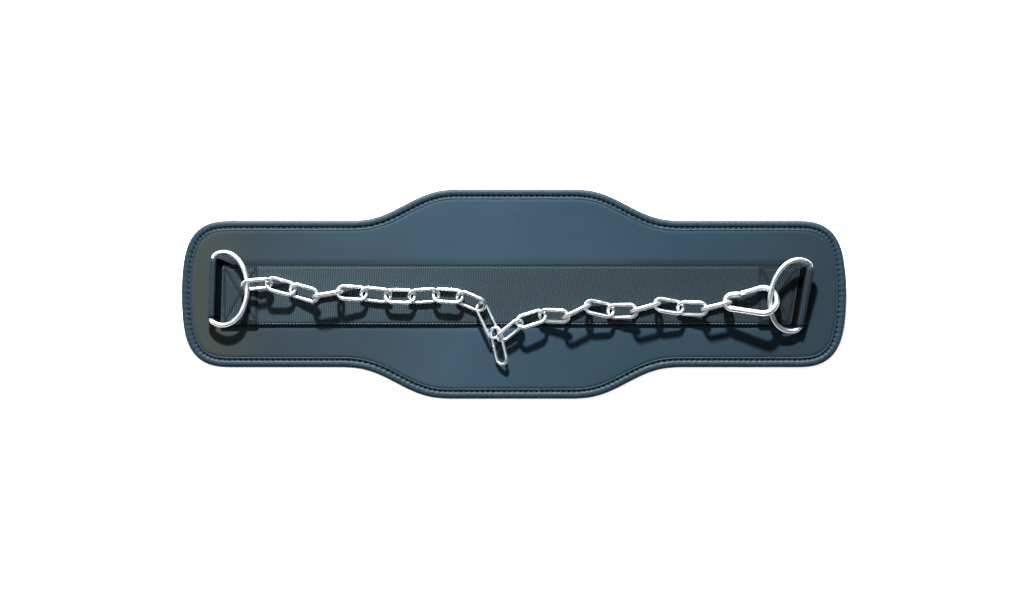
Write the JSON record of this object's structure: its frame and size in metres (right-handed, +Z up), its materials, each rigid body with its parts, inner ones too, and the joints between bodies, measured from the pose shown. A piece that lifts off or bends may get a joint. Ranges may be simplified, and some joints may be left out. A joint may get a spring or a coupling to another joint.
{
  "type": "dip belt",
  "caption": "Padded waist belt lying flat, with D-rings at both ends, a welded chain and a pear-shaped spring hook for hanging a weight.",
  "frame": {"origin": "on the surface that the belt lies on, under the middle of its bounding box", "axes": "+X along the belt towards the end with the spring hook, +Y across the belt away from the hanging link, +Z up out of the face that carries the chain"},
  "size_m": [0.666, 0.21, 0.03],
  "materials": {
    "neoprene": "matt slate-blue neoprene with a knitted face",
    "binding": "soft satin imitation-leather tape",
    "webbing": "matt ribbed nylon webbing",
    "zinc_steel": "bright zinc-plated steel"
  },
  "bodies": {
    "belt": {"belt_pad": "neoprene", "edge_binding": "binding", "webbing_strap": "webbing", "ring_tab_left": "webbing", "ring_tab_right": "webbing", "d_ring_left": "zinc_steel", "d_ring_right": "zinc_steel", "chain_link_01": "zinc_steel", "chain_link_02": "zinc_steel", "chain_link_03": "zinc_steel", "chain_link_04": "zinc_steel", "chain_link_05": "zinc_steel", "chain_link_06": "zinc_steel", "chain_link_07": "zinc_steel", "chain_link_08": "zinc_steel", "chain_link_09": "zinc_steel", "chain_link_10": "zinc_steel", "chain_link_11": "zinc_steel", "chain_link_12": "zinc_steel", "chain_link_13": "zinc_steel", "chain_link_14": "zinc_steel", "chain_link_15": "zinc_steel", "chain_link_16": "zinc_steel", "chain_link_17": "zinc_steel", "chain_link_18": "zinc_steel", "chain_link_19": "zinc_steel", "chain_link_20": "zinc_steel", "long_link_upper": "zinc_steel", "long_link_hanging": "zinc_steel", "carabiner_body": "zinc_steel", "carabiner_rivet": "zinc_steel"},
    "gate": {"carabiner_gate": "zinc_steel"}
  },
  "joints": [
    {"name": "gate_hinge", "type": "hinge", "parent": "belt", "child": "gate", "pos_m": [0.22388, -0.0005, 0.01676], "axis": [0.0766, -0.4038, -0.9116], "range_deg": [0, 22], "stiffness_Nm_per_rad": 0.02, "springref_deg": -20.05}
  ]
}
